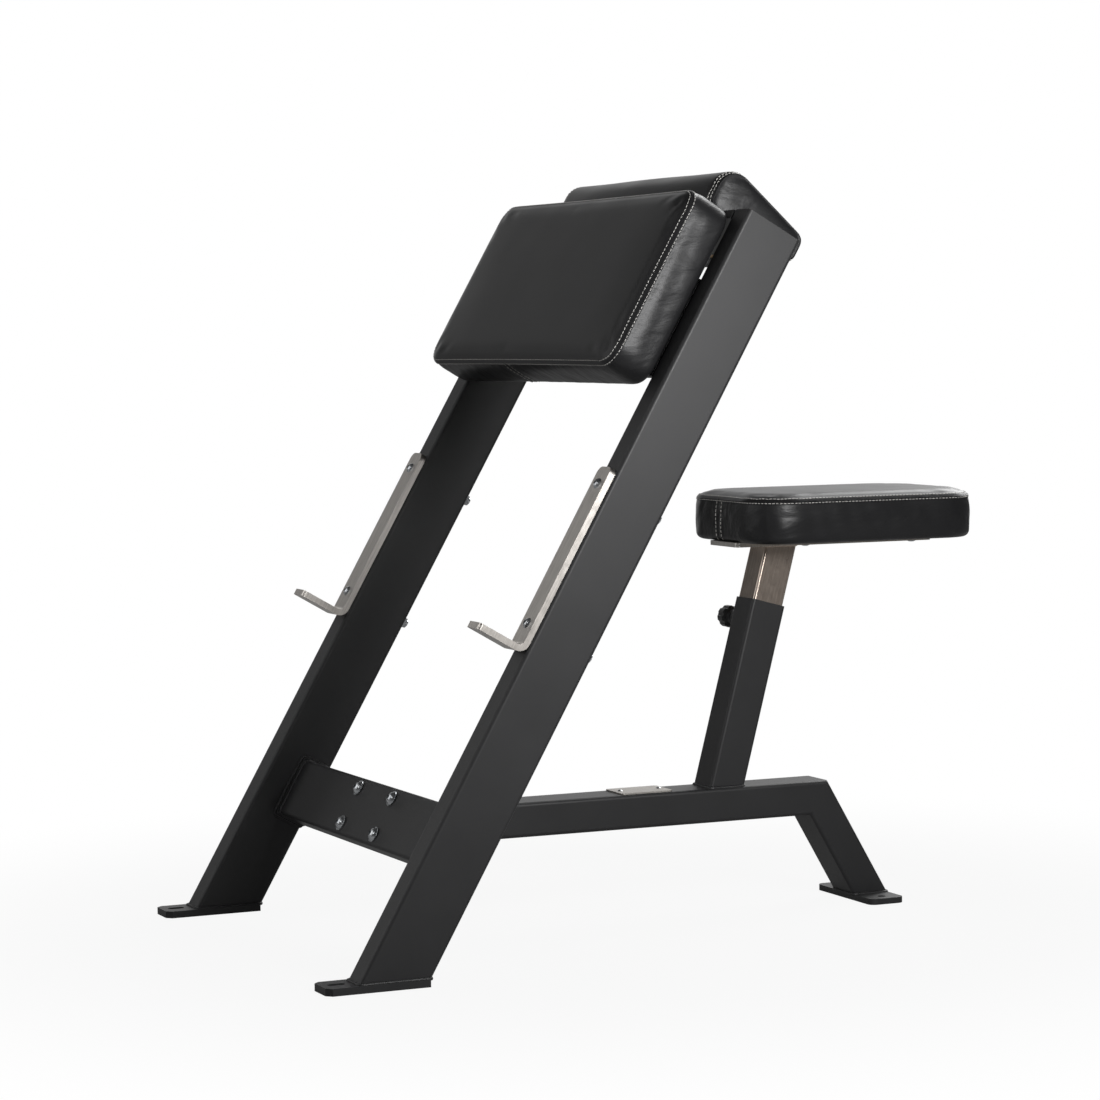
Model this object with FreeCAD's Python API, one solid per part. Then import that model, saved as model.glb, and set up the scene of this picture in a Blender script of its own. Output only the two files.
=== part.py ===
import FreeCAD, Part
import math
import os

# Preacher curl bench. X runs across the bench, Y from the arm pad back to the seat, Z up.
# Lengths are millimetres and angles are degrees. Two slanted uprights carry the pads, a low
# beam runs back from them to a rear leg, and a telescopic post on the beam carries the seat.
# "Slope" places are (x across, depth behind the uprights' front plane, run up the slope).

V = FreeCAD.Vector
ACROSS = V(1, 0, 0)
ASIDE = V(0, 1, 0)
UP = V(0, 0, 1)
QUARTER = 90.0
TURN_QUARTERS = 4
HEXAGON_SIDES = 6
SIDES = {"left": 1, "right": -1}

# Uprights
lean = 60.0
tube_broad = 80.0
tube_narrow = 40.0
tube_wall = 3.0
tube_corner = 5.0
upright_spacing = 600.0
upright_run = 1055.0
cap_flange = 4.0
cap_insert = 18.0
cap_clearance = 0.2

# Front foot plates
foot_length = 130.0
foot_width = 50.0
foot_thick = 9.0
foot_heel_inset = 4.0
foot_chamfer = 7.0
foot_slot_length = 22.0
foot_slot_width = 11.0
foot_slot_setback = 20.0

# Cross member between the uprights and its bolted joint to the beam
cross_run = 173.5
flange_thick = 8.0
flange_margin = 4.0
flange_corner = 6.0
joint_plate_width = 150.0
joint_plate_thick = 8.0
joint_plate_margin = 2.0
joint_plate_corner = 8.0
joint_bolts_across = 115.0
joint_bolts_up = 50.0

# Beam, rear leg and rear foot
beam_width = 60.0
beam_height = 45.0
beam_wall = 3.0
beam_corner = 5.0
beam_top = 165.0
beam_end = 790.0
leg_angle = 60.0
rear_foot_width = 150.0
rear_foot_thick = 8.0
rear_foot_corner = 10.0
rear_hole_diameter = 11.0
rear_holes_apart = 116.0

# Stainless wear plate on the beam
wear_setback = 154.5
wear_length = 74.0
wear_width = 52.0
wear_thick = 2.0
wear_corner = 4.0
wear_screw_inset = 9.0
wear_screw_diameter = 4.0
wear_screw_length = 10.0
wear_screw_clearance = 0.1
wear_head_diameter = 7.5
wear_head_height = 1.8
wear_socket = 1.8

# Telescopic seat post
post_lean = 15.0
post_setback = 641.5
post_size = 45.0
post_wall = 2.0
post_corner = 3.5
post_clearance = 0.5
post_foot_gap = 13.2
sleeve_wall = 2.0
sleeve_corner = 4.5
seat_low_gap = 28.2
plug_flange = 3.0
plug_insert = 16.0
plug_clearance = 0.2

# Spring-loaded pull pin on the sleeve
pin_drop = 26.0
pin_diameter = 10.0
pin_clearance = 0.3
pin_reach = 8.5
pin_taper = 3.0
pin_collar_diameter = 15.0
pin_collar_thick = 3.0
pin_stem_diameter = 7.0
detent_pitch = 25.0
DETENTS_ABOVE = 2
DETENTS_BELOW = 4
housing_diameter = 22.0
housing_length = 32.0
housing_end_wall = 4.0
housing_edge = 1.5
knob_diameter = 30.0
knob_length = 29.0
knob_gap = 2.0
knob_neck_diameter = 20.0
knob_neck_length = 8.0
knob_edge = 4.0
knob_flute_diameter = 7.0
knob_bore_clearance = 0.1
KNOB_FLUTES = 8
spring_wire = 1.2
spring_diameter = 12.4
SPRING_TURNS = 5
SPRING_WIRE_SIDES = 6
GAP_TEST_COUNT = 48

# Seat
seat_plate_height = 482.0
seat_plate_thick = 6.0
seat_plate_width = 80.0
seat_plate_front_inset = 3.0
seat_plate_rear_inset = 38.0
seat_plate_corner = 6.0
seat_reach = 79.0
seat_length = 336.0
seat_width = 230.0
seat_thick = 56.0
seat_crown = 10.0
seat_corner = 58.0
seat_draw = 3.0
seat_foot_round = 12.0
seat_screws_across = 54.0
seat_screw_front_inset = 112.0
seat_screw_rear_inset = 62.0

# Arm pad on its plate
arm_pad_overlap = 8.0
arm_pad_height = 243.0
arm_pad_thick = 57.0
arm_pad_crown = 10.0
arm_pad_corner = 16.0
arm_pad_draw = 3.0
arm_pad_foot_round = 12.0
arm_pad_drop = 5.0
pad_plate_thick = 6.0
pad_plate_height = 135.0
pad_plate_inset = 16.0
pad_plate_bolts_across = 360.0
pad_plate_bolts_up = 80.0

# Top pad on its rail, a flat bar
top_rail_thick = 12.0
top_pad_margin = 52.0
top_pad_nose = 13.5
top_pad_depth = 138.5
top_pad_front_height = 65.5
top_pad_rear_height = 33.5
top_pad_nose_radius = 26.0
top_pad_rear_radius = 14.0
top_pad_front_foot = 16.0
top_pad_rear_foot = 6.0
top_pad_end_round = 10.0
top_pad_crown = 3.0
top_pad_bolts_across = 300.0

# Plywood boards inside the pads
board_thick = 12.0
board_inset = 20.0
board_corner = 12.0
board_clearance = 0.3

# Bar hooks
hook_width = 35.0
hook_thick = 8.0
hook_drop = 361.0
hook_height = 249.5
hook_reach = 69.0
hook_bend_inner = 6.0
hook_top_corner = 9.0
hook_tip_corner = 4.0
hook_screw_top = 23.0
hook_screws_apart = 189.0

# Fasteners
bolt_clearance = 0.4
m10_diameter = 10.0
m10_head_diameter = 17.5
m10_head_height = 5.5
m10_socket = 6.0
m10_washer_diameter = 20.0
m10_washer_thick = 2.0
m10_nut_flats = 16.0
m10_nut_height = 10.0
m10_tail = 3.0
m8_diameter = 8.0
m8_head_diameter = 14.0
m8_head_height = 4.4
m8_low_head_height = 2.4
m8_socket = 5.0
m8_washer_diameter = 16.0
m8_washer_thick = 1.6
m8_nut_flats = 13.0
m8_nut_height = 8.0
m8_thin_nut_height = 4.5
m8_tail = 1.0
tnut_flange_diameter = 20.0
tnut_flange_thick = 1.5
tnut_barrel_diameter = 10.0
tnut_gap = 0.2
socket_depth_share = 0.55
nut_hex_share = 0.72
nut_collar_share = 0.92

# Crown of a cushion: how far each level comes in from the edge and how far it has risen
crown_inset_shares = (0.0, 0.05, 0.2, 0.5)
crown_rise_shares = (0.0, 0.45, 0.8, 1.0)
# Edge round the back of a cushion, as shares of its foot radius
foot_inset_shares = (1.0, 0.3, 0.0)
foot_rise_shares = (0.0, 0.3, 1.0)

# Picking edges: how near to a plane, and how nearly along a direction
match_share = 1e-6
along_share = 0.5

# Worked out from the sizes above
lean_sin = math.sin(math.radians(lean))
lean_cos = math.cos(math.radians(lean))
clear_width = upright_spacing - tube_narrow
arm_pad_width = clear_width + 2 * arm_pad_overlap
top_pad_width = clear_width - 2 * top_pad_margin
foot_heel = tube_broad / lean_sin + foot_thick * lean_cos / lean_sin - foot_heel_inset
foot_front = foot_heel - foot_length
cross_depth = tube_broad - tube_narrow
wear_hole = wear_screw_diameter + 2 * wear_screw_clearance
leg_tan = math.tan(math.radians(leg_angle))
leg_sin = math.sin(math.radians(leg_angle))
leg_heel = beam_end + (beam_top - rear_foot_thick) / leg_tan
leg_toe = leg_heel - beam_height / leg_sin
sleeve_bore = post_size + 2 * post_clearance
sleeve_size = sleeve_bore + 2 * sleeve_wall
post_rise = (seat_plate_height - beam_top) / math.cos(math.radians(post_lean))
seat_drop = DETENTS_ABOVE * detent_pitch
sleeve_length = post_rise - seat_drop - seat_low_gap
post_foot = seat_drop + plug_flange + post_foot_gap
post_length = post_rise - post_foot
post_head = post_setback + (seat_plate_height - beam_top) * math.tan(math.radians(post_lean))
pin_height = sleeve_length - pin_drop
wear_front = post_setback - wear_setback
seat_front = post_head - seat_reach
seat_middle = seat_front + seat_length / 2
seat_base = seat_plate_height + seat_plate_thick
seat_plate_length = seat_length - seat_plate_front_inset - seat_plate_rear_inset
arm_pad_run = upright_run - arm_pad_drop - arm_pad_height
hook_top_run = upright_run - hook_drop
hook_low_run = hook_top_run - hook_height
middle = (foot_front + seat_front + seat_length) / 2
reach = upright_run + seat_length


def save(name, shape):
    """Write one node, moved so that the origin is under the middle of the bench."""
    placed = shape.copy()
    placed.translate(V(0, -middle, 0))
    placed.exportStep("parts/" + name + ".step")


def turned(shape, axis, angle):
    """A copy turned about an axis through the origin."""
    copy = shape.copy()
    copy.rotate(V(0, 0, 0), axis, angle)
    return copy


def moved(shape, x, y, z):
    """A copy shifted by a vector."""
    copy = shape.copy()
    copy.translate(V(x, y, z))
    return copy


def on_slope(shape):
    """From slope places (x, depth, run) to the bench's own axes."""
    return turned(shape, ACROSS, lean - QUARTER)


def on_post(shape):
    """From the post's own axes, z along the post from the beam, to the bench's."""
    return moved(turned(shape, ACROSS, -post_lean), 0, post_setback, beam_top)


def across(shape):
    """Stand a prism so that its x runs up, its y stays and its height runs along -X."""
    return turned(shape, ASIDE, -QUARTER)


def slab(x0, x1, y0, y1, z0, z1):
    """Box between two corners."""
    return Part.makeBox(x1 - x0, y1 - y0, z1 - z0, V(x0, y0, z0))


def rod(diameter, start, along, length):
    """Cylinder from a point in a direction."""
    return Part.makeCylinder(diameter / 2, length, start, along)


def outline(points, radii):
    """Closed wire in XY through the corners; each is rounded by its radius, or sharp at 0."""
    ends = []
    for i, (corner, radius) in enumerate(zip(points, radii)):
        p = V(corner[0], corner[1], 0)
        before = V(points[i - 1][0], points[i - 1][1], 0) - p
        after = V(points[(i + 1) % len(points)][0], points[(i + 1) % len(points)][1], 0) - p
        before.normalize()
        after.normalize()
        half = before.getAngle(after) / 2
        bisector = before + after
        bisector.normalize()
        run = radius / math.tan(half)
        bulge = p + bisector * (radius / math.sin(half) - radius)
        ends.append((p + before * run, bulge, p + after * run, radius))
    edges = []
    for i, (start, bulge, end, radius) in enumerate(ends):
        if radius:
            edges.append(Part.Arc(start, bulge, end).toShape())
        edges.append(Part.LineSegment(end, ends[(i + 1) % len(ends)][0]).toShape())
    return Part.Wire(edges)


def rectangle(width, depth, corner):
    """Rounded rectangle centred on the origin in XY."""
    a, b = width / 2, depth / 2
    return outline([(-a, -b), (a, -b), (a, b), (-a, b)], [corner] * 4)


def slot(length, width):
    """Stadium outline along Y, centred on the origin."""
    half, r = (length - width) / 2, width / 2
    ends = (V(r, half, 0), V(-r, half, 0), V(-r, -half, 0), V(r, -half, 0))
    edges = [Part.Arc(ends[0], V(0, half + r, 0), ends[1]).toShape(),
             Part.LineSegment(ends[1], ends[2]).toShape(),
             Part.Arc(ends[2], V(0, -half - r, 0), ends[3]).toShape(),
             Part.LineSegment(ends[3], ends[0]).toShape()]
    return Part.Wire(edges)


def prism(wire, height):
    """Solid raised from a flat outline."""
    return Part.Face(wire).extrude(V(0, 0, height))


def tube(width, depth, wall, corner, length):
    """Rectangular hollow section standing on the origin, open at both ends."""
    outer = rectangle(width, depth, corner)
    inner = rectangle(width - 2 * wall, depth - 2 * wall, corner - wall / 2)
    return prism(outer, length).cut(prism(inner, length))


def below(height):
    """Everything under a level."""
    return slab(-reach, reach, -reach, reach, -reach, height)


def above(height):
    """Everything over a level."""
    return slab(-reach, reach, -reach, reach, height, reach)


def screw(diameter, head_diameter, head_height, socket, length):
    """Domed socket screw: shank up from the origin, head below it, hexagon recess in the head."""
    r, head = diameter / 2, head_diameter / 2
    centre = (head * head - head_height * head_height) / (2 * head_height)
    sphere = centre + head_height
    half = math.asin(head / sphere) / 2
    crown = Part.Arc(V(0, 0, -head_height),
                     V(sphere * math.sin(half), 0, centre - sphere * math.cos(half)),
                     V(head, 0, 0)).toShape()
    corners = (V(head, 0, 0), V(r, 0, 0), V(r, 0, length), V(0, 0, length), V(0, 0, -head_height))
    lines = [Part.LineSegment(a, b).toShape() for a, b in zip(corners, corners[1:])]
    solid = Part.Face(Part.Wire([crown] + lines)).revolve(V(0, 0, 0), UP, 360)
    recess = prism(hexagon(socket), head_height * socket_depth_share)
    return solid.cut(moved(recess, 0, 0, -head_height))


def polygon(radius, sides):
    """Regular polygon centred on the origin, by the radius of its corners."""
    turns = [2 * math.pi * i / sides for i in range(sides)]
    return outline([(radius * math.cos(t), radius * math.sin(t)) for t in turns], [0] * sides)


def hexagon(flats):
    """Hexagon centred on the origin, by its width across flats."""
    return polygon(flats / math.sqrt(3), HEXAGON_SIDES)


def washer(diameter, hole, thick):
    """Flat ring standing on the origin."""
    return rod(diameter, V(0, 0, 0), UP, thick).cut(rod(hole, V(0, 0, 0), UP, thick))


def lock_nut(flats, height, hole):
    """Hexagon nut with the round collar of its locking ring on top."""
    hexagonal = prism(hexagon(flats), height * nut_hex_share)
    collar = rod(flats * nut_collar_share, V(0, 0, 0), UP, height)
    return hexagonal.fuse(collar).cut(rod(hole, V(0, 0, 0), UP, height))


def facing_back(shape):
    """Turn a fastener modelled up +Z to point along +depth."""
    return turned(shape, ACROSS, -QUARTER)


def grid(across_apart, other_apart):
    """The four corners of a rectangle of fasteners."""
    return [(i * across_apart / 2, j * other_apart / 2) for i in (-1, 1) for j in (-1, 1)]


def upright(side):
    """Slanted tube, cut level on its foot plate and drilled through for the hook screws."""
    x = side * upright_spacing / 2
    body = moved(tube(tube_narrow, tube_broad, tube_wall, tube_corner, upright_run - cap_flange),
                 x, tube_broad / 2, 0)
    for run in hook_screw_runs():
        body = body.cut(rod(m8_diameter + 2 * bolt_clearance, V(x, 0, run), ASIDE, tube_broad))
    return on_slope(body).cut(below(foot_thick))


def hook_screw_runs():
    """Places of a hook's two screws up the slope."""
    top = hook_top_run - hook_screw_top
    return top, top - hook_screws_apart


def upright_cap(side):
    """Plastic plug that closes the top of an upright."""
    loose = 2 * (tube_wall + cap_clearance)
    flange = prism(rectangle(tube_narrow, tube_broad, tube_corner), cap_flange)
    bore_corner = tube_corner - tube_wall / 2
    insert = prism(rectangle(tube_narrow - loose, tube_broad - loose, bore_corner), cap_insert)
    cap = flange.fuse(moved(insert, 0, 0, -cap_insert))
    return on_slope(moved(cap, side * upright_spacing / 2, tube_broad / 2, upright_run - cap_flange))


def foot_plate(side):
    """Plate under an upright, drawn forward past it with a slot for a floor anchor."""
    w, ch = foot_width / 2, foot_chamfer
    corners = [(-w, foot_heel), (-w, foot_front + ch), (-w + ch, foot_front),
               (w - ch, foot_front), (w, foot_front + ch), (w, foot_heel)]
    plate = prism(outline(corners, [0] * len(corners)), foot_thick)
    hole = prism(slot(foot_slot_length, foot_slot_width), foot_thick)
    plate = plate.cut(moved(hole, 0, foot_front + foot_slot_setback, 0))
    return moved(plate, side * upright_spacing / 2, 0, 0)


def joint_holes(start, length):
    """The four bolt holes of the beam joint, from one depth to another, in slope places."""
    run = cross_run + tube_broad / 2
    size = m10_diameter + 2 * bolt_clearance
    places = grid(joint_bolts_across, joint_bolts_up)
    return [rod(size, V(x, start, run + z), ASIDE, length) for x, z in places]


def cross_member():
    """Tube between the end flanges, broad face forward, drilled for the beam's bolts."""
    length = clear_width - 2 * flange_thick
    body = across(tube(tube_broad, tube_narrow, tube_wall, tube_corner, length))
    body = moved(body, length / 2, cross_depth + tube_narrow / 2, cross_run + tube_broad / 2)
    for hole in joint_holes(cross_depth, tube_narrow):
        body = body.cut(hole)
    return on_slope(body)


def cross_flange(side):
    """Plate between an end of the cross member and the inner face of an upright."""
    low, high = cross_run - flange_margin, cross_run + tube_broad + flange_margin
    front, back = cross_depth - flange_margin, cross_depth + tube_narrow
    corners = [(low, front), (high, front), (high, back), (low, back)]
    plate = across(prism(outline(corners, [flange_corner] * 4), flange_thick))
    x = side * (clear_width - flange_thick) / 2 + flange_thick / 2
    return on_slope(moved(plate, x, 0, 0))


def joint_plate():
    """Plate on the beam's front end that bolts to the back of the cross member."""
    height = tube_broad - 2 * joint_plate_margin
    plate = prism(rectangle(joint_plate_width, height, joint_plate_corner), joint_plate_thick)
    plate = moved(turned(plate, ACROSS, -QUARTER), 0, tube_broad, cross_run + tube_broad / 2)
    for hole in joint_holes(tube_broad, joint_plate_thick):
        plate = plate.cut(hole)
    return on_slope(plate)


def joint_fasteners():
    """Screws, washers and lock nuts of the beam joint."""
    bolts, washers, nuts = [], [], []
    grip = tube_narrow + joint_plate_thick + 2 * m10_washer_thick
    hole = m10_diameter + bolt_clearance
    length = grip + m10_nut_height + m10_tail
    bolt = screw(m10_diameter, m10_head_diameter, m10_head_height, m10_socket, length)
    ring = washer(m10_washer_diameter, hole, m10_washer_thick)
    nut = lock_nut(m10_nut_flats, m10_nut_height, hole)
    back = tube_broad + joint_plate_thick
    for x, up in grid(joint_bolts_across, joint_bolts_up):
        run = cross_run + tube_broad / 2 + up
        front = cross_depth - m10_washer_thick
        bolts.append(on_slope(moved(facing_back(bolt), x, front, run)))
        washers.append(on_slope(moved(facing_back(ring), x, front, run)))
        washers.append(on_slope(moved(facing_back(ring), x, back, run)))
        nuts.append(on_slope(moved(facing_back(nut), x, back + m10_washer_thick, run)))
    return bolts, washers, nuts


def mitre():
    """Everything on the leg's side of the mitre between the beam and the leg."""
    block = slab(-reach, reach, 0, reach, -reach, reach)
    return moved(turned(block, ACROSS, -leg_angle / 2), 0, beam_end, beam_top)


def main_beam():
    """Level tube from the joint plate to the mitre, its front end cut to the slope."""
    body = tube(beam_width, beam_height, beam_wall, beam_corner, beam_end)
    body = moved(turned(body, ACROSS, -QUARTER), 0, 0, beam_top - beam_height / 2)
    front = on_slope(slab(-reach, reach, -reach, tube_broad + joint_plate_thick, -reach, reach))
    body = body.cut(front)
    for y in wear_screw_places():
        body = body.cut(rod(wear_hole, V(0, y, beam_top - beam_wall), UP, beam_wall))
    return body.cut(mitre())


def rear_leg():
    """Tube from the mitre down to the rear foot plate."""
    body = moved(tube(beam_width, beam_height, beam_wall, beam_corner, beam_end), 0, beam_height / 2, 0)
    body = moved(turned(body, ACROSS, -QUARTER - leg_angle), 0, beam_end, beam_top)
    return body.common(mitre()).cut(below(rear_foot_thick))


def rear_foot_plate():
    """Plate across the bench under the leg, with an anchor hole each side."""
    plate = prism(rectangle(rear_foot_width, leg_heel - leg_toe, rear_foot_corner), rear_foot_thick)
    for side in (-1, 1):
        start = V(side * rear_holes_apart / 2, 0, 0)
        plate = plate.cut(rod(rear_hole_diameter, start, UP, rear_foot_thick))
    return moved(plate, 0, (leg_heel + leg_toe) / 2, 0)


def wear_screw_places():
    """Where the wear plate's two screws stand along the beam."""
    return wear_front + wear_screw_inset, wear_front + wear_length - wear_screw_inset


def wear_plate():
    """Thin plate that takes the scuffs of shoes on top of the beam."""
    plate = prism(rectangle(wear_width, wear_length, wear_corner), wear_thick)
    plate = moved(plate, 0, wear_front + wear_length / 2, beam_top)
    for y in wear_screw_places():
        plate = plate.cut(rod(wear_hole, V(0, y, beam_top), UP, wear_thick))
    return plate


def wear_screws():
    """Two small domed screws of the wear plate."""
    one = screw(wear_screw_diameter, wear_head_diameter, wear_head_height, wear_socket, wear_screw_length)
    one = turned(one, ACROSS, 2 * QUARTER)
    return [moved(one, 0, y, beam_top + wear_thick) for y in wear_screw_places()]


def post_sleeve():
    """Outer tube of the seat post, welded on the beam, with the pull pin's hole in one side."""
    body = moved(tube(sleeve_size, sleeve_size, sleeve_wall, sleeve_corner, sleeve_length + sleeve_size),
                 0, 0, -sleeve_size)
    hole = rod(pin_diameter + 2 * pin_clearance, V(-sleeve_size / 2, 0, pin_height), ACROSS, sleeve_wall)
    return on_post(body.cut(hole)).cut(below(beam_top))


def seat_post():
    """Inner tube of the seat post with its row of detent holes, cut level under the seat plate."""
    body = moved(tube(post_size, post_size, post_wall, post_corner, post_length + post_size), 0, 0, post_foot)
    for step in range(-DETENTS_BELOW, DETENTS_ABOVE + 1):
        start = V(-post_size / 2, 0, pin_height + step * detent_pitch)
        body = body.cut(rod(pin_diameter + 2 * pin_clearance, start, ACROSS, post_wall))
    return on_post(body).cut(above(seat_plate_height))


def post_plug():
    """Plastic plug in the foot of the inner tube."""
    loose = 2 * (post_wall + plug_clearance)
    flange = prism(rectangle(post_size, post_size, post_corner), plug_flange)
    insert = prism(rectangle(post_size - loose, post_size - loose, post_corner - post_wall / 2), plug_insert)
    return on_post(moved(flange.fuse(moved(insert, 0, 0, plug_flange)), 0, 0, post_foot - plug_flange))


def beside_pin(shape):
    """Put a piece modelled up +Z on the pull pin's axis, pointing out of the sleeve."""
    return on_post(moved(turned(shape, ASIDE, -QUARTER), -sleeve_size / 2, 0, pin_height))


def turning(points):
    """Solid of revolution about Z from (radius, height) corners."""
    corners = [V(r, 0, z) for r, z in points]
    return Part.Face(Part.makePolygon(corners + corners[:1])).revolve(V(0, 0, 0), UP, 360)


def pin_housing():
    """Round housing welded to the sleeve: spring chamber and the stem's guide hole."""
    outer, chamber = housing_diameter / 2, pin_collar_diameter / 2 + pin_clearance
    guide = pin_stem_diameter / 2 + pin_clearance
    shoulder = housing_length - housing_end_wall
    return beside_pin(turning([(chamber, 0), (outer, 0), (outer, housing_length - housing_edge),
                               (outer - housing_edge, housing_length), (guide, housing_length),
                               (guide, shoulder), (chamber, shoulder)]))


def pull_pin():
    """Plunger: tapered nose in a detent hole, collar in the chamber, stem out to the knob."""
    nose, collar, stem = pin_diameter / 2, pin_collar_diameter / 2, pin_stem_diameter / 2
    tip = -sleeve_wall - post_clearance - pin_reach
    shoulder = pin_clearance + pin_collar_thick
    end = housing_length + knob_gap + knob_length / 2
    return beside_pin(turning([(0, tip), (nose - pin_taper / 2, tip), (nose, tip + pin_taper),
                               (nose, pin_clearance), (collar, pin_clearance), (collar, shoulder),
                               (stem, shoulder), (stem, end), (0, end)]))


def pull_knob():
    """Fluted knob with a slimmer neck, bored for the stem."""
    rim, neck = knob_diameter / 2, knob_neck_diameter / 2
    stem = pin_stem_diameter / 2 + knob_bore_clearance
    foot = housing_length + knob_gap
    head = foot + knob_length
    knob = turning([(stem, foot), (neck, foot), (neck, foot + knob_neck_length),
                    (rim, foot + knob_neck_length + knob_edge), (rim, head - knob_edge),
                    (rim - knob_edge, head), (0, head), (0, foot + knob_length / 2),
                    (stem, foot + knob_length / 2)])
    for i in range(KNOB_FLUTES):
        flute = rod(knob_flute_diameter, V(rim + knob_flute_diameter / 4, 0, foot + knob_neck_length),
                    UP, knob_length)
        knob = knob.cut(turned(flute, UP, 360 * i / KNOB_FLUTES))
    return beside_pin(knob)


def helix_point(radius, pitch, turns):
    """Point and direction of a helix about Z after some turns."""
    t = 2 * math.pi * turns
    slope = V(-math.sin(t), math.cos(t), pitch / (2 * math.pi * radius))
    slope.normalize()
    return V(radius * math.cos(t), radius * math.sin(t), pitch * turns), slope


def tangent_arc(start, corner, end):
    """Arc that touches two equal tangents meeting at a corner."""
    turn = (corner - start).getAngle(end - corner)
    bulge = corner + ((start + end) / 2 - corner) / (1 + math.cos(turn / 2))
    return Part.Arc(start, bulge, end)


def biarc(start, leaving, end, arriving):
    """Two arcs from one point and direction to another, meeting on one tangent."""
    chord, both = end - start, leaving + arriving
    a, b, c = 4 - both.dot(both), 2 * chord.dot(both), -chord.dot(chord)
    run = (math.sqrt(b * b - 4 * a * c) - b) / (2 * a)
    first, second = start + leaving * run, end - arriving * run
    meeting = (first + second) / 2
    return [tangent_arc(start, first, meeting), tangent_arc(meeting, second, end)]


def pin_spring():
    """Compression spring between the pin's collar and the housing's end wall, one unbroken wire."""
    start = 2 * pin_clearance + pin_collar_thick + spring_wire / 2
    length = housing_length - housing_end_wall - pin_clearance - spring_wire / 2 - start
    pitch = length / SPRING_TURNS
    places = [helix_point(spring_diameter / 2, pitch, i / TURN_QUARTERS)
              for i in range(TURN_QUARTERS * SPRING_TURNS + 1)]
    arcs = []
    for (p, leaving), (q, arriving) in zip(places, places[1:]):
        arcs += biarc(p, leaving, q, arriving)
    path = Part.Wire([arc.toShape() for arc in arcs])
    section = polygon(spring_wire / 2, SPRING_WIRE_SIDES)
    section.Placement = FreeCAD.Placement(places[0][0], FreeCAD.Rotation(UP, places[0][1]))
    print("spring: least gap between turns", round(least_gap(path), 2), "mm")
    return beside_pin(moved(path.makePipeShell([section], True, False), 0, 0, start))


def least_gap(path):
    """Least clear distance between points of the spring that are half a turn or more apart."""
    points = path.discretize(Number=SPRING_TURNS * GAP_TEST_COUNT)
    apart = GAP_TEST_COUNT // 2
    near = min(p.distanceToPoint(q) for i, p in enumerate(points) for q in points[i + apart:])
    return near - spring_wire


def cushion_level(half_width, half_length, corner, draw, height):
    """Outline at one height of a cushion: round corners, and sides drawn in between them."""
    a, b, r = half_width, half_length, corner
    k = r * (1 - 1 / math.sqrt(2))
    edges = []
    for side, (x, y) in enumerate([(a, b), (b, a), (a, b), (b, a)]):
        points = [V(x, -y + r, 0), V(x - draw, 0, 0), V(x, y - r, 0), V(x - k, y - k, 0), V(x - r, y, 0)]
        points = [turn_point(p, side * QUARTER, height) for p in points]
        edges.append(Part.Arc(*points[:3]).toShape())
        edges.append(Part.Arc(*points[2:]).toShape())
    return Part.Wire(edges)


def turn_point(point, angle, height):
    """A flat point turned about Z and raised."""
    t = math.radians(angle)
    cos, sin = math.cos(t), math.sin(t)
    return V(point.x * cos - point.y * sin, point.x * sin + point.y * cos, height)


def cushion(width, length, thick, crown, corner, draw, foot_round):
    """Crowned pad on its flat back at z 0, its sides drawn in, with a pocket for its board."""
    small = min(width, length) / 2
    levels = [(foot_round * i, foot_round * h) for i, h in zip(foot_inset_shares, foot_rise_shares)]
    levels += [(small * i, thick + crown * h) for i, h in zip(crown_inset_shares, crown_rise_shares)]
    wires = []
    for inset, z in levels:
        level_corner = corner * (1 - inset / small)
        wires.append(cushion_level(width / 2 - inset, length / 2 - inset, level_corner, draw, z))
    body = Part.makeLoft(wires, True, True)
    return body.cut(prism(board_outline(width, length, corner, board_clearance), board_thick))


def board_outline(width, length, corner, loose):
    """Edge of the board inside a pad, or of its pocket when it is made looser."""
    inset = 2 * (board_inset - loose)
    return rectangle(width - inset, length - inset, max(board_corner, corner - board_inset) + loose)


def board(width, length, corner, places):
    """Plywood board of a pad with counterbored holes for its T-nuts."""
    body = prism(board_outline(width, length, corner, 0), board_thick)
    for x, y in places:
        body = body.cut(rod(tnut_barrel_diameter + 2 * tnut_gap, V(x, y, 0), UP, board_thick))
        seat = V(x, y, board_thick - tnut_flange_thick)
        body = body.cut(rod(tnut_flange_diameter + 2 * tnut_gap, seat, UP, tnut_flange_thick))
    return body


def tnuts(places):
    """T-nuts sunk in a board from its foam side."""
    nuts = []
    for x, y in places:
        barrel = rod(tnut_barrel_diameter, V(x, y, 0), UP, board_thick)
        flange = rod(tnut_flange_diameter, V(x, y, board_thick - tnut_flange_thick), UP, tnut_flange_thick)
        bore = rod(m8_diameter + bolt_clearance, V(x, y, 0), UP, board_thick)
        nuts.append(barrel.fuse(flange).cut(bore))
    return Part.makeCompound(nuts)


def board_bolts(places, grip, head_height):
    """Socket screws from under a carrier of a given thickness into a board at z 0."""
    bolt = screw(m8_diameter, m8_head_diameter, head_height, m8_socket, grip + board_thick)
    return Part.makeCompound([moved(bolt, x, y, -grip) for x, y in places])


def drilled(plate, places, start, length):
    """A carrier with its bolt holes along +Z."""
    for x, y in places:
        plate = plate.cut(rod(m8_diameter + 2 * bolt_clearance, V(x, y, start), UP, length))
    return plate


def seat_screw_places():
    """Four screws of the seat, about the cushion's middle."""
    rows = (seat_screw_front_inset - seat_length / 2, seat_length / 2 - seat_screw_rear_inset)
    return [(side * seat_screws_across / 2, y) for side in (-1, 1) for y in rows]


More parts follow.
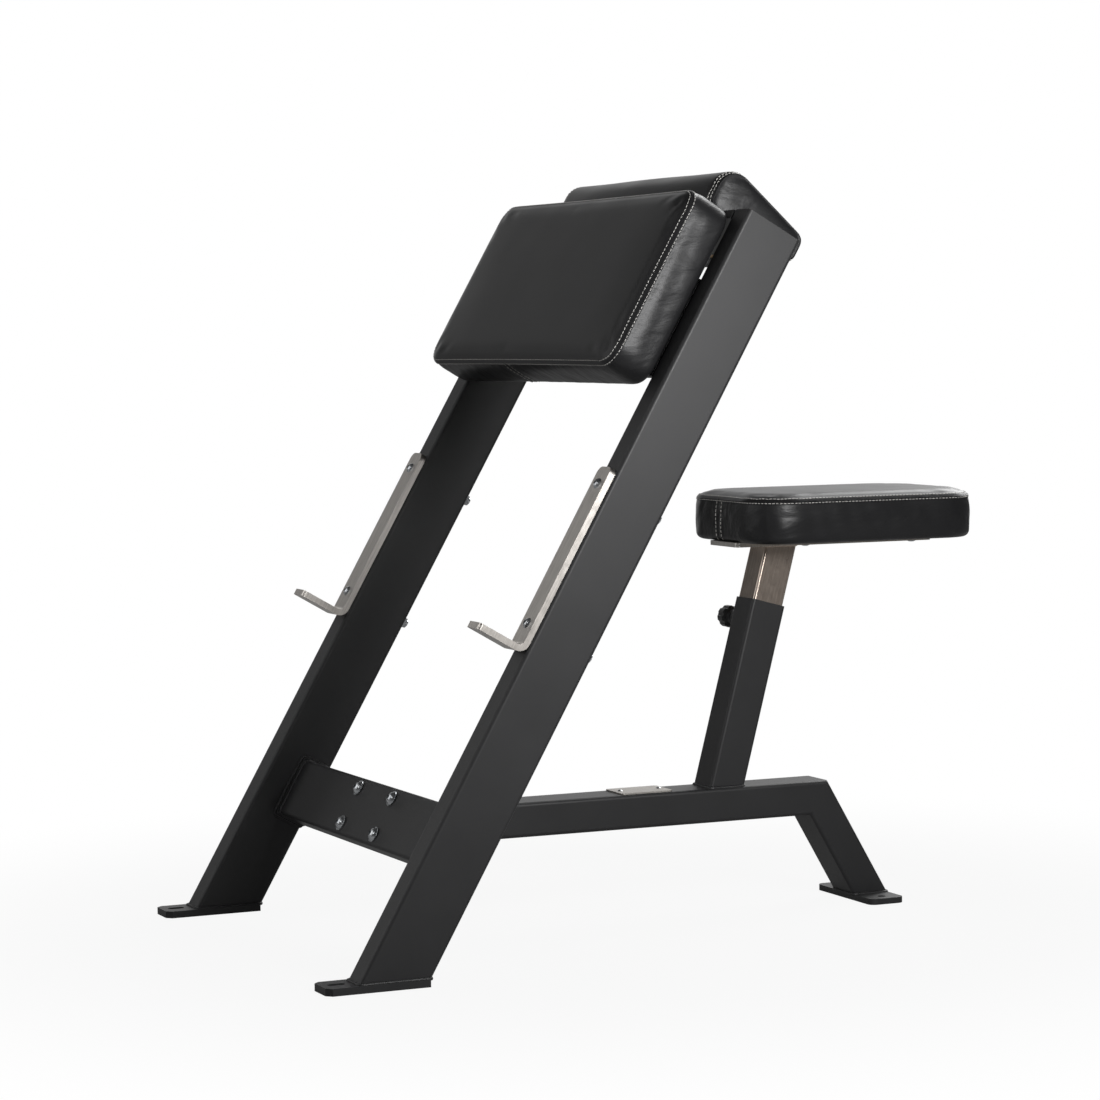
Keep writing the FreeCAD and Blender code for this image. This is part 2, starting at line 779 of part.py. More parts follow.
def seat_pieces():
    """Seat plate, board, cushion, T-nuts and screws, at the seat's own place."""
    places = seat_screw_places()
    plate = prism(rectangle(seat_plate_width, seat_plate_length, seat_plate_corner), seat_plate_thick)
    plate = moved(plate, 0, (seat_plate_front_inset - seat_plate_rear_inset) / 2, -seat_plate_thick)
    pieces = {
        "seat_plate": drilled(plate, places, -seat_plate_thick, seat_plate_thick),
        "seat_board": board(seat_width, seat_length, seat_corner, places),
        "seat_cushion": cushion(seat_width, seat_length, seat_thick, seat_crown, seat_corner, seat_draw,
                                seat_foot_round),
        "seat_tnuts": tnuts(places),
        "seat_screws": board_bolts(places, seat_plate_thick, m8_low_head_height),
    }
    return {name: moved(piece, 0, seat_middle, seat_base) for name, piece in pieces.items()}


def arm_pad_pieces():
    """Arm pad and its plate, laid out flat with z towards the user's arms, then stood on the slope."""
    rise = pad_plate_inset + pad_plate_height / 2 - arm_pad_height / 2
    places = [(x, y + rise) for x, y in grid(pad_plate_bolts_across, pad_plate_bolts_up)]
    plate = slab(-clear_width / 2, clear_width / 2, rise - pad_plate_height / 2, rise + pad_plate_height / 2,
                 -pad_plate_thick, 0)
    pieces = {
        "arm_pad_plate": drilled(plate, places, -pad_plate_thick, pad_plate_thick),
        "arm_pad_board": board(arm_pad_width, arm_pad_height, arm_pad_corner, places),
        "arm_pad_cushion": cushion(arm_pad_width, arm_pad_height, arm_pad_thick, arm_pad_crown,
                                   arm_pad_corner, arm_pad_draw, arm_pad_foot_round),
        "arm_pad_tnuts": tnuts(places),
        "arm_pad_bolts": board_bolts(places, pad_plate_thick, m8_head_height),
    }
    stand = {name: moved(turned(piece, ACROSS, QUARTER), 0, 0, arm_pad_run + arm_pad_height / 2)
             for name, piece in pieces.items()}
    return {name: on_slope(piece) for name, piece in stand.items()}


def top_pad_level(x, inset):
    """Section of the top pad across the bench: round nose in front, thinner edge behind."""
    front, back = -top_pad_nose + inset, top_pad_depth - top_pad_nose - inset
    low, high = top_pad_rear_height - inset, top_pad_front_height - inset
    corners = [(0, front), (0, back), (low, back), (high, front)]
    radii = [top_pad_front_foot, top_pad_rear_foot, top_pad_rear_radius, top_pad_nose_radius]
    return moved(across(outline(corners, radii)), x, 0, 0)


def top_pad_cushion(depth_middle):
    """Half-round pad lofted across the bench, fuller in the middle, with a pocket for its board."""
    half, edge = top_pad_width / 2, top_pad_end_round
    levels = [(-half, edge / 2), (-half + edge, 0), (0, -top_pad_crown), (half - edge, 0), (half, edge / 2)]
    body = Part.makeLoft([top_pad_level(x, inset) for x, inset in levels], True, True)
    pocket = prism(board_outline(top_pad_width, top_pad_depth, 0, board_clearance), board_thick)
    return body.cut(moved(pocket, 0, depth_middle, 0))


def top_pad_pieces():
    """Top pad and the rail that carries it between the uprights."""
    depth_middle = top_pad_depth / 2 - top_pad_nose
    places = [(side * top_pad_bolts_across / 2, tube_broad / 2 - depth_middle) for side in (-1, 1)]
    rail = slab(-clear_width / 2, clear_width / 2, -depth_middle, tube_broad - depth_middle,
                -top_rail_thick, 0)
    pieces = {
        "top_rail": drilled(rail, places, -top_rail_thick, top_rail_thick),
        "top_pad_board": board(top_pad_width, top_pad_depth, 0, places),
        "top_pad_tnuts": tnuts(places),
        "top_pad_bolts": board_bolts(places, top_rail_thick, m8_head_height),
    }
    pieces = {name: moved(piece, 0, depth_middle, 0) for name, piece in pieces.items()}
    pieces["top_pad_cushion"] = top_pad_cushion(depth_middle)
    return {name: on_slope(moved(piece, 0, 0, upright_run)) for name, piece in pieces.items()}


def bar_hook(side):
    """Flat bar bent to an L: long leg on the upright's front face, arm standing out from it."""
    t, inner = hook_thick, hook_bend_inner
    corners = [(hook_low_run, 0), (hook_low_run, -hook_reach), (hook_low_run + t, -hook_reach),
               (hook_low_run + t, -t), (hook_top_run, -t), (hook_top_run, 0)]
    body = across(prism(outline(corners, [inner + t, 0, 0, inner, 0, 0]), hook_width))
    body = moved(body, hook_width / 2, 0, 0)
    body = body.makeFillet(hook_top_corner, edges_at(body, UP, hook_top_run, ASIDE))
    body = body.makeFillet(hook_tip_corner, edges_at(body, ASIDE, -hook_reach, UP))
    for run in hook_screw_runs():
        body = body.cut(rod(m8_diameter + 2 * bolt_clearance, V(0, -t, run), ASIDE, t))
    return on_slope(moved(body, side * upright_spacing / 2, 0, 0))


def edges_at(solid, normal, place, direction):
    """Straight edges of a solid that lie in a plane and run along a direction."""
    near = solid.BoundBox.DiagonalLength * match_share
    level = [e for e in solid.Edges if max(abs(v.Point.dot(normal) - place) for v in e.Vertexes) < near]
    return [e for e in level if abs(e.tangentAt(e.FirstParameter).dot(direction)) > along_share]


def hook_fasteners():
    """Screws through the hooks and uprights, with washers and lock nuts behind, thin ones on the left."""
    screws, washers, nuts = [], [], []
    hole = m8_diameter + bolt_clearance
    ring = washer(m8_washer_diameter, hole, m8_washer_thick)
    for side, nut_height in zip(SIDES.values(), (m8_thin_nut_height, m8_nut_height)):
        length = hook_thick + tube_broad + m8_washer_thick + nut_height + m8_tail
        one = screw(m8_diameter, m8_head_diameter, m8_head_height, m8_socket, length)
        nut = lock_nut(m8_nut_flats, nut_height, hole)
        for run in hook_screw_runs():
            x = side * upright_spacing / 2
            screws.append(on_slope(moved(facing_back(one), x, -hook_thick, run)))
            washers.append(on_slope(moved(facing_back(ring), x, tube_broad, run)))
            nuts.append(on_slope(moved(facing_back(nut), x, tube_broad + m8_washer_thick, run)))
    return screws, washers, nuts


def main():
    os.makedirs("parts", exist_ok=True)
    for name, side in SIDES.items():
        save("upright_" + name, upright(side))
        save("upright_cap_" + name, upright_cap(side))
        save("foot_plate_" + name, foot_plate(side))
        save("cross_flange_" + name, cross_flange(side))
        save("bar_hook_" + name, bar_hook(side))
    for kind, solids in zip(("screws", "washers", "nuts"), hook_fasteners()):
        save("hook_" + kind, Part.makeCompound(solids))
    for kind, solids in zip(("bolts", "washers", "nuts"), joint_fasteners()):
        save("joint_" + kind, Part.makeCompound(solids))
    save("cross_member", cross_member())
    save("joint_plate", joint_plate())
    save("main_beam", main_beam())
    save("rear_leg", rear_leg())
    save("rear_foot_plate", rear_foot_plate())
    save("wear_plate", wear_plate())
    save("wear_plate_screws", Part.makeCompound(wear_screws()))
    save("post_sleeve", post_sleeve())
    save("pin_housing", pin_housing())
    save("pull_pin", pull_pin())
    save("pull_knob", pull_knob())
    save("pin_spring", pin_spring())
    save("seat_post", seat_post())
    save("post_plug", post_plug())
    for pieces in (seat_pieces(), arm_pad_pieces(), top_pad_pieces()):
        for name, piece in pieces.items():
            save(name, piece)


main()
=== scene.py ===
import math

import bpy
import numpy as np
from mathutils import Matrix, Vector


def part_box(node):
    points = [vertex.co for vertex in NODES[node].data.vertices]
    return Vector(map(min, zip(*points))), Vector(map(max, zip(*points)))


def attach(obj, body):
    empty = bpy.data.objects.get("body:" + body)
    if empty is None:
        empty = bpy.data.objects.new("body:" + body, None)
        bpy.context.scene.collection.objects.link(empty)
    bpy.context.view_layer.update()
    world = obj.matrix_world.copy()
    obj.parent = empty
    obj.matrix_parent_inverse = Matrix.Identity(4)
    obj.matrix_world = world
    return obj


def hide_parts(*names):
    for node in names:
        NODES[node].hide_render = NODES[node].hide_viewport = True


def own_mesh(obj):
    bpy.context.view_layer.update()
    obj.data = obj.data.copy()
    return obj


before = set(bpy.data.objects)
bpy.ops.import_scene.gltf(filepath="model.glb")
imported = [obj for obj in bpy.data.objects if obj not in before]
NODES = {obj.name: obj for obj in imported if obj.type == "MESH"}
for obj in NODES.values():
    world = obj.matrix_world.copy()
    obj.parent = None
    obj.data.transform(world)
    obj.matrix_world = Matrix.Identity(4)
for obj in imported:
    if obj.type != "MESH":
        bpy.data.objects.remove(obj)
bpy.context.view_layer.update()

# Preacher curl bench. The frame gives every rigid piece; this script adds its finishes, the sewn
# covers of the three pads, their stitching, and the weld beads. Lengths are metres.
MM = 0.001

# Local axes as rows (u, v, w): level, up the slope of the uprights, and turned to face along x
LEAN = math.radians(60)
POST_LEAN = math.radians(15)
LEVEL = np.eye(3)
SLOPE = np.array([[1, 0, 0],
                  [0, math.cos(LEAN), math.sin(LEAN)],
                  [0, -math.sin(LEAN), math.cos(LEAN)]])
TURN_TO_SIDE = np.array([[0, 1, 0], [0, 0, 1], [1, 0, 0]])

# Camera, from the photograph's vanishing points and the bench's known sizes
CAMERA_PLACE = (3.99662, -1.874487, 0.76756)
CAMERA_AZIMUTH = math.radians(65.74)
CAMERA_PITCH = math.radians(3.67)
CAMERA_ROLL = math.radians(-0.71)
CAMERA_LENS = 111.40
CAMERA_SENSOR = 36

# Studio: the room's light, the white sweep behind the bench as the camera sees it, and the lamps as
# name, place, what it points at, size and power
ROOM_LIGHT = 0.05
SWEEP_MIDDLE = (-math.sin(CAMERA_AZIMUTH), math.cos(CAMERA_AZIMUTH), 0.0)
SWEEP_EDGE = (math.radians(25), math.radians(45))
LAMPS = (("key", (1.55, 0.13, 0.97), (0.3, 0.02, 0.7), 0.42, 24.5),
         ("fill", (-0.9, -2.0, 1.4), (0, 0, 0.6), 2.0, 16),
         ("edge", (0.9, -2.1, 1.9), (0.2, 0, 0.6), 0.5, 4),
         ("rim", (-1.0, 2.0, 1.9), (0, 0.1, 0.5), 1.6, 55))
WHITE = (1, 1, 1, 1)

# Floor: half its width, its tone, how white it shows at the bench, between which distances that
# fades to full white, and how much of the white it shows to glossy rays
FLOOR_HALF = 6.0
FLOOR_TONE = (0.25, 0.25, 0.25, 1)
FLOOR_WHITE = 0.92
FLOOR_FADE = (0.5, 1.3)
FLOOR_GLOSS = 0.15

# Gloss of the two black finishes
COAT_GLOSS = 0.4
VINYL_GLOSS = 0.22

# Sewn covers: the face rolls up from its seam and is slightly crowned beyond that
COVER_CROWN = 10 * MM
ROLL_REACH = 12 * MM
ROLL_SHARE = 0.78
CROWN_REACH = 110 * MM
RIM_LINES = np.array([0, 0.8, 2.0, 3.6, 5.6, 8.2, 11.5, 16, 22, 30]) * MM
FACE_STEP = 8 * MM

# Back of a cover: the pocket round the board, and the least radius of a corner there
BOARD_INSET = 19.7 * MM
BOARD_POCKET = 12.3 * MM
BACK_CORNER = 6 * MM

# Boxing: rows close to the seam, rows down the side and round the foot, how far it swells, and how
# many of its rings the cloth may move
BOXING_DROPS = np.array([0.8, 2.2, 4.2, 7.5, 12]) * MM
SIDE_ROWS = 7
FOOT_ROWS = 6
BOXING_SWELL = 2.2 * MM
FREE_RINGS = 8

# Pulled folds of a boxing: their length and depth, the slants of the two waves, and how the first
# of them bends on the way down
CREASE_LENGTH = 42 * MM
CREASE_DEPTH = 0.6 * MM
CREASE_SLANTS = np.array([[1, 0.8, 0], [-0.47, 0.63, 0.9]])
CREASE_BEND = 1.3
CREASE_TURN = 0.6

# Joins down a boxing: the grid lines beside one, its groove, and the stitch rows each side of it
JOIN_LINES = np.array([-7, -4, -2, -0.8, 0.8, 2, 4, 7]) * MM
JOIN_DEPTH = 0.9 * MM
JOIN_WIDTH = 1.3 * MM
JOIN_STITCHES = (-8 * MM, 8 * MM)

# Welted seams: the ridge on the seam, the valley past it, and the height and depth of these
RIDGE_WIDTH = 1.6 * MM
VALLEY_PLACE = 5 * MM
VALLEY_WIDTH = 2.4 * MM
PAD_WELT = (0.7 * MM, 0.7 * MM)
TOP_WELT = (0.8 * MM, 0.9 * MM)

# Cloth simulation
CLOTH_PRESSURE = 4
CLOTH_FRAMES = 20

# Stitching: each stitch's size, the share of its radius that it is raised by, and the rings of its
# round end as how far in and how wide, both in radii
STITCH_PITCH = 5 * MM
STITCH_LENGTH = 3.6 * MM
STITCH_WIDTH = 1.1 * MM
STITCH_RISE = 0.12
STITCH_SIDES = 6
STITCH_END = np.array([[0, 0.15], [0.3, 0.7], [1, 1]])

# Top pad: its section, the stations from each end inwards, how far the wrap stands out, bows and is
# drawn in by the seam, the end panels as scales of the section, and how far the cloth may move
TOP_INSET = 3 * MM
TOP_NOSE = 65.5 * MM
TOP_HEEL = 33.5 * MM
TOP_RADII = np.array([6, 16, 26, 14]) * MM
TOP_STEP = 6 * MM
TOP_MIDDLE = 0.4
POCKET_STEP = 0.3 * MM
TOP_ENDS = np.concatenate([np.array([0, 1.6, 3.2, 5.2, 7.8, 11, 15]) * MM,
                           [BOARD_INSET, BOARD_INSET + POCKET_STEP, 28 * MM, 36 * MM]])
TOP_STATIONS = 40
WRAP_OUT = 2 * MM
WRAP_BOW = 3 * MM
WRAP_DRAW = 3.5 * MM
WRAP_REACH = 14 * MM
PANEL_SCALES = np.array([0.985, 0.96, 0.92, 0.85, 0.74, 0.6, 0.42, 0.22, 0.06])
PANEL_BULGE = 3.5 * MM
PANEL_REACH = 45 * MM
WELT_FOOT = 2 * MM
TOP_SWELL = 2.5 * MM
TOP_STITCH_RINGS = (2, 4, -3, -5)

# Welds: the bead's radius, how it changes along the ripples and five times a round, and the corner
# radius of the tube or plate that it runs round
BEAD_RADIUS = 2.6 * MM
BEAD_RIPPLE = 3.2 * MM
BEAD_STEP = 0.8 * MM
BEAD_SIDES = 8
BEAD_LEAST = 0.86
BEAD_SWELL = 0.14
BEAD_DRIFT = 0.06
BEAD_DRIFTS = 5
CORNERS = {"upright": 5 * MM, "flange": 6 * MM, "member": 5 * MM, "beam": 6 * MM, "leg": 6 * MM,
           "sleeve": 5 * MM, "housing": 10.9 * MM, "post": 4 * MM}
CORNER_STEP = 2 * MM

# Distances that count as touching, and the least length and area to divide by
TOUCH = 0.05 * MM
FLAT = 0.01 * MM
LEAST_LENGTH = 1e-9
LEAST_AREA = 1e-12


def vertices_of(node, axes):
    """A CAD node's vertices measured along local axes."""
    mesh = NODES[node].data
    flat = np.empty(len(mesh.vertices) * 3)
    mesh.vertices.foreach_get("co", flat)
    return flat.reshape(-1, 3) @ axes.T


def local_box(node, axes):
    """Lowest and highest corner of a CAD node along local axes."""
    points = vertices_of(node, axes)
    return points.min(0), points.max(0)


def piece(name, points, faces, body, material):
    """A new mesh object at the origin from arrays of points and faces, riding on a body."""
    mesh = bpy.data.meshes.new(name)
    mesh.from_pydata(points.tolist(), [], faces)
    mesh.shade_smooth()
    made = bpy.data.objects.new(name, mesh)
    bpy.context.scene.collection.objects.link(made)
    made.data.materials.append(material)
    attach(made, body)
    return made


def grid_faces(rows, columns):
    """Quads of a grid of points numbered row by row."""
    corner = (np.arange(rows - 1)[:, None] * columns + np.arange(columns - 1)).ravel()
    return np.stack([corner, corner + columns, corner + columns + 1, corner + 1], axis=1)


def strip_faces(ring, following):
    """Quads between two closed rings of vertex numbers."""
    return np.stack([ring, following, np.roll(following, -1), np.roll(ring, -1)], axis=1)


def border(numbers):
    """Vertex numbers once round the edge of a grid, counter-clockwise."""
    return np.concatenate([numbers[:-1, 0], numbers[-1, :-1], numbers[:0:-1, -1], numbers[0, :0:-1]])


def unit(rows):
    """Each row divided by its length."""
    return rows / np.linalg.norm(rows, axis=1, keepdims=True)


def run_of(path):
    """Length along a path up to each of its points: the running sum of its steps."""
    steps = np.linalg.norm(np.diff(path, axis=0), axis=1)
    return np.concatenate([[0], np.cumsum(steps)])


def along_path(at, run, values):
    """Values given at a path's points, interpolated straight to other lengths along it."""
    return np.stack([np.interp(at, run, values[:, k]) for k in range(3)], axis=1)


# Sewn covers

def face_lines(half, joins=()):
    """Grid lines across a face: close together by the seams and the joins, wider between."""
    inner = half - RIM_LINES[-1]
    count = int(round(2 * inner / FACE_STEP))
    middle = np.linspace(-inner, inner, count + 1)[1:-1]
    for place in joins:
        middle = middle[np.abs(middle - place) > JOIN_LINES[-1] + FACE_STEP / 2]
        middle = np.sort(np.concatenate([middle, place + JOIN_LINES]))
    return np.concatenate([-half + RIM_LINES, middle, half - RIM_LINES[::-1]])


def rounded(across, along, half, corner, draw):
    """Squeeze a rectangular grid into a rounded rectangle whose sides are drawn in.

    Each corner square becomes a quarter disc: a place keeps its direction and moves to the radius
    that is the larger of its x and y. A side moves in by draw times a cosine along it, fading inwards.
    """
    a, b = half
    x = np.clip((np.abs(across) - (a - corner)) / corner, 0, 1)
    y = np.clip((np.abs(along) - (b - corner)) / corner, 0, 1)
    reach = corner * np.maximum(x, y) / np.maximum(np.hypot(x, y), LEAST_LENGTH)
    u = np.minimum(np.abs(across), a - corner) + reach * x
    v = np.minimum(np.abs(along), b - corner) + reach * y
    u = u - draw * np.cos(np.pi / 2 * along / b) * (np.abs(across) / a) ** 4
    v = v - draw * np.cos(np.pi / 2 * across / a) * (np.abs(along) / b) ** 4
    return np.sign(across) * u, np.sign(along) * v


def from_seam(u, v, half, corner):
    """How far a place on the face is from the rounded rectangle of its seam."""
    x, y = np.abs(u) - (half[0] - corner), np.abs(v) - (half[1] - corner)
    outside = np.hypot(np.maximum(x, 0), np.maximum(y, 0))
    return corner - outside - np.minimum(np.maximum(x, y), 0)


def roll(distance):
    """Share of the roll up from the seam: a quarter ellipse."""
    return np.sqrt(1 - (1 - np.clip(distance / ROLL_REACH, 0, 1)) ** 2)


def dome(distance):
    """Share of the shallow crown over the whole face: a parabola."""
    return 1 - (1 - np.clip(distance / CROWN_REACH, 0, 1)) ** 2


def boxing_rows(height, foot):
    """Outset and height of each row of a pad's side from its seam down.

    The side swells by a sine of the depth to the power 0.7, then rounds under in a quarter circle.
    """
    rest = np.linspace(BOXING_DROPS[-1], height - foot, SIDE_ROWS)[1:]
    heights = height - np.concatenate([BOXING_DROPS, rest])
    outsets = BOXING_SWELL * np.sin(np.pi * (height - heights) / height) ** 0.7
    turn = np.linspace(0, np.pi / 2, FOOT_ROWS)[1:]
    under = outsets[-1] * np.cos(turn) - foot * (1 - np.cos(turn))
    return np.concatenate([outsets, under]), np.concatenate([heights, foot * (1 - np.sin(turn))])


def cover_form(half, height, corner, foot, draw, across_joins):
    """Closed cover of a pad in local places, the vertex numbers of its rings, and the face's distances.

    The face is a grid that rolls up from its seam, under a crown that is the product of its rises
    from both pairs of sides.
    The side is a stack of rings, and the back turns in to a pocket round the board.
    """
    a, b = half
    across, along = np.meshgrid(face_lines(a, across_joins), face_lines(b), indexing="ij")
    u, v = rounded(across, along, half, corner, draw)
    inward = from_seam(*rounded(across, along, half, corner, 0), half, corner).clip(0)
    crown = dome(a - np.abs(across)) * dome(b - np.abs(along))
    w = height + COVER_CROWN * (ROLL_SHARE * roll(inward) + (1 - ROLL_SHARE) * crown)
    layers = [np.stack([u, v, w], axis=-1).reshape(-1, 3)]
    numbers = np.arange(across.size).reshape(across.shape)
    rim = border(numbers)
    ring_across, ring_along = across.ravel()[rim], along.ravel()[rim]
    turns = [(outset, z, draw) for outset, z in zip(*boxing_rows(height, foot))]
    turns += [(-BOARD_INSET, z, 0) for z in (0, BOARD_POCKET)]
    rings = [rim]
    count = across.size
    for outset, z, drawn in turns:
        size = (a + outset, b + outset)
        scaled = (ring_across * size[0] / a, ring_along * size[1] / b)
        ru, rv = rounded(*scaled, size, max(corner + outset, BACK_CORNER), drawn)
        layers.append(np.stack([ru, rv, np.full_like(ru, z)], axis=-1))
        rings.append(count + np.arange(len(rim)))
        count += len(rim)
    pocket = (a - BOARD_INSET, b - BOARD_INSET)
    scaled = (across * pocket[0] / a, along * pocket[1] / b)
    pu, pv = rounded(*scaled, pocket, max(corner - BOARD_INSET, BACK_CORNER), 0)
    inside = np.ones(across.shape, bool)
    inside[[0, -1], :] = False
    inside[:, [0, -1]] = False
    bottom = np.empty(across.shape, int)
    bottom.ravel()[rim] = rings[-1]
    bottom[inside] = count + np.arange(inside.sum())
    layers.append(np.stack([pu[inside], pv[inside], np.full(inside.sum(), BOARD_POCKET)], axis=-1))
    faces = [grid_faces(*across.shape)]
    faces += [strip_faces(ring, below) for ring, below in zip(rings, rings[1:])]
    quads = np.stack([bottom[:-1, :-1], bottom[:-1, 1:], bottom[1:, 1:], bottom[1:, :-1]], axis=-1)
    faces.append(quads.reshape(-1, 4))
    return np.concatenate(layers), np.concatenate(faces), numbers, rings, inward.ravel()


def swollen(points, faces, held, cap):
    """Blow the cover up as cloth with its seams and back held, each point moving no more than cap."""
    mesh = bpy.data.meshes.new("blank")
    mesh.from_pydata(points.tolist(), [], faces.tolist())
    blank = bpy.data.objects.new("blank", mesh)
    scene = bpy.context.scene
    scene.collection.objects.link(blank)
    group = blank.vertex_groups.new(name="held")
    group.add(held.tolist(), 1.0, "REPLACE")
    cloth = blank.modifiers.new("cloth", "CLOTH")
    cloth.settings.vertex_group_mass = "held"
    cloth.settings.use_pressure = True
    cloth.settings.uniform_pressure_force = CLOTH_PRESSURE
    cloth.settings.effector_weights.gravity = 0
    for step in range(1, CLOTH_FRAMES + 1):
        scene.frame_set(step)
    swelled = blank.evaluated_get(bpy.context.evaluated_depsgraph_get()).data
    flat = np.empty(points.size)
    swelled.vertices.foreach_get("co", flat)
    scene.frame_set(1)
    bpy.data.objects.remove(blank)
    move = flat.reshape(-1, 3) - points
    length = np.linalg.norm(move, axis=1, keepdims=True)
    return points + move * np.minimum(1, cap / np.maximum(length, LEAST_LENGTH))


def normals_of(points, faces):
    """Vertex normals: the sum of the crossed diagonals of the quads round each vertex."""
    p = points[faces]
    crossed = np.cross(p[:, 2] - p[:, 0], p[:, 3] - p[:, 1])
    total = np.zeros_like(points)
    for corner in range(4):
        np.add.at(total, faces[:, corner], crossed)
    return total / np.maximum(np.linalg.norm(total, axis=1, keepdims=True), LEAST_AREA)


def welt(distance, height, depth):
    """Height of the sewn edge beside its seam: a bell-shaped ridge, less a bell-shaped valley past it."""
    ridge = np.exp(-(distance / RIDGE_WIDTH) ** 2)
    valley = np.exp(-((distance - VALLEY_PLACE) / VALLEY_WIDTH) ** 2)
    return height * ridge - depth * valley


def creases(points, height):
    """Shallow pulled folds of a boxing.

    The product of two crossed sine waves, the first bent by a sine of the height, fades at both edges
    by half a sine.
    """
    phase = points.T * 2 * np.pi / CREASE_LENGTH
    first, second = CREASE_SLANTS @ phase
    bend = CREASE_BEND * np.sin(CREASE_TURN * phase[2])
    fade = np.sin(np.pi * np.clip(points[:, 2] / height, 0, 1))
    return CREASE_DEPTH * np.sin(first + bend) * np.sin(second) * fade


def smooth_cover(name, points, faces, axes, origin, body, material, boxing):
    """Put a cover in its place with one subdivision, keeping which of its points are on the boxing."""
    made = piece(name, (points + origin) @ axes, faces, body, material)
    side = made.data.attributes.new("boxing", "FLOAT", "POINT")
    side.data.foreach_set("value", boxing.astype(np.float32))
    finer = made.modifiers.new("finer", "SUBSURF")
    finer.levels = finer.render_levels = 1
    return made


def stitches(name, rows, axes, origin, body, material):
    """Short round-ended stitches laid end to end along rows of points, half sunk in the fabric.

    Each row gives points and normals. A stitch is a stack of rings on a capsule.
    """
    r, half = STITCH_WIDTH / 2, STITCH_LENGTH / 2
    inset, width = r * STITCH_END.T
    along = np.concatenate([inset - half, half - inset[::-1]])
    size = np.concatenate([width, width[::-1]])
    ring = np.arange(STITCH_SIDES)
    turn = ring * 2 * np.pi / STITCH_SIDES
    shape = np.stack([np.repeat(along, STITCH_SIDES), np.outer(size, np.cos(turn)).ravel(),
                      np.outer(size, np.sin(turn)).ravel()], axis=1)
    starts = STITCH_SIDES * np.arange(len(along))
    capsule = np.concatenate([strip_faces(ring + a, ring + b) for a, b in zip(starts, starts[1:])])
    ends = np.stack([ring[::-1], ring + starts[-1]])
    places = []
    for points, normals in rows:
        run = run_of(points)
        count = int(run[-1] / STITCH_PITCH)
        at = (np.arange(count) + 0.5) * run[-1] / count
        tangent = unit(along_path(at + half, run, points) - along_path(at - half, run, points))
        beside = unit(np.cross(along_path(at, run, normals), tangent))
        up = np.cross(tangent, beside)
        turned = np.stack([tangent, beside, up], axis=1)
        centre = along_path(at, run, points) + up * STITCH_RISE * r
        places.append(centre[:, None] + np.einsum("mk,nkc->nmc", shape, turned))
    points = np.concatenate(places)
    first = len(shape) * np.arange(len(points))[:, None, None]
    sides = (capsule + first).reshape(-1, 4).tolist()
    caps = (ends + first).reshape(-1, STITCH_SIDES).tolist()
    piece(name, (points.reshape(-1, 3) + origin) @ axes, sides + caps, body, material)


def closed(ring):
    """A ring of vertex numbers with its first repeated at its end."""
    return np.append(ring, ring[0])


def inner_border(numbers, lines):
    """Ring of grid vertices some lines in from the seam."""
    return closed(border(numbers[lines:-lines, lines:-lines]))


def pad(name, node, axes, body, corner, foot, draw, swell, joins, material, thread):
    """One boxed pad: crowned face, welted seam, boxing with upright joins, and its stitching.

    A join is its place across the pad and which side it is on, and sinks as a bell-shaped groove.
    """
    low, high = local_box(node, axes)
    half = ((high - low) / 2)[:2]
    origin = np.array([(low[0] + high[0]) / 2, (low[1] + high[1]) / 2, low[2]])
    height = high[2] - low[2] - COVER_CROWN
    points, faces, numbers, rings, inward = cover_form(half, height, corner, foot, draw,
                                                       [place for place, _ in joins])
    back = np.arange(rings[-1][-1], len(points))
    held = np.concatenate([rings[0]] + rings[FREE_RINGS:] + [back])
    points = swollen(points, faces, np.unique(held), swell)
    normals = normals_of(points, faces)
    distance = np.clip(height - points[:, 2], 0, None)
    distance[:numbers.size] = inward
    boxing = np.zeros(len(points))
    boxing[np.concatenate(rings[1:-2])] = 1
    lift = welt(distance, *PAD_WELT) + boxing * creases(points, height)
    for place, side in joins:
        along = points[:, 1] * side
        near = boxing * (along > half[1] - 2 * corner)
        lift = lift - near * JOIN_DEPTH * np.exp(-((points[:, 0] - place) / JOIN_WIDTH) ** 2)
    points = points + normals * lift[:, None]
    cover = smooth_cover(name + "_cover", points, faces.tolist(), axes, origin, body, material, boxing)
    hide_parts(node)
    normals = normals_of(points, faces)
    rows = [inner_border(numbers, 2), closed(rings[2])]
    rim = points[rings[1]]
    for place, side in joins:
        for shift in JOIN_STITCHES:
            away = np.where(np.sign(rim[:, 1]) == side, np.abs(rim[:, 0] - place - shift), 1)
            column = away.argmin()
            # down the side, from below the seam to where the foot rounds under
            rows.append(np.array([ring[column] for ring in rings[2:-4]]))
    lines = [(points[row], normals[row]) for row in rows]
    stitches(name + "_stitching", lines, axes, origin, body, thread)


# Top pad

def rounded_loop(corners, radii, spacing):
    """Closed outline round corners: equal-step arcs of each radius joined by evenly divided sides."""
    corners = np.asarray(corners, float)
    before = unit(np.roll(corners, 1, axis=0) - corners)
    after = unit(np.roll(corners, -1, axis=0) - corners)
    half = np.arccos(np.sum(before * after, axis=1)) / 2
    run = radii / np.tan(half)
    leave, arrive = corners + after * run[:, None], corners + before * run[:, None]
    middle = corners + unit(before + after) * (radii / np.sin(half))[:, None]
    loop = []
    for i in range(len(corners)):
        start, end = arrive[i] - middle[i], leave[i] - middle[i]
        turn = np.pi - 2 * half[i]
        share = np.linspace(0, 1, max(4, int(turn * radii[i] / spacing) + 2))[:, None]
        arc = np.sin((1 - share) * turn) * start + np.sin(share * turn) * end
        loop.append(middle[i] + arc / np.sin(turn))
        side = np.roll(arrive, -1, axis=0)[i] - leave[i]
        share = np.linspace(0, 1, max(2, int(np.linalg.norm(side) / spacing) + 1))[1:-1, None]
        loop.append(leave[i] + share * side)
    return np.concatenate(loop)


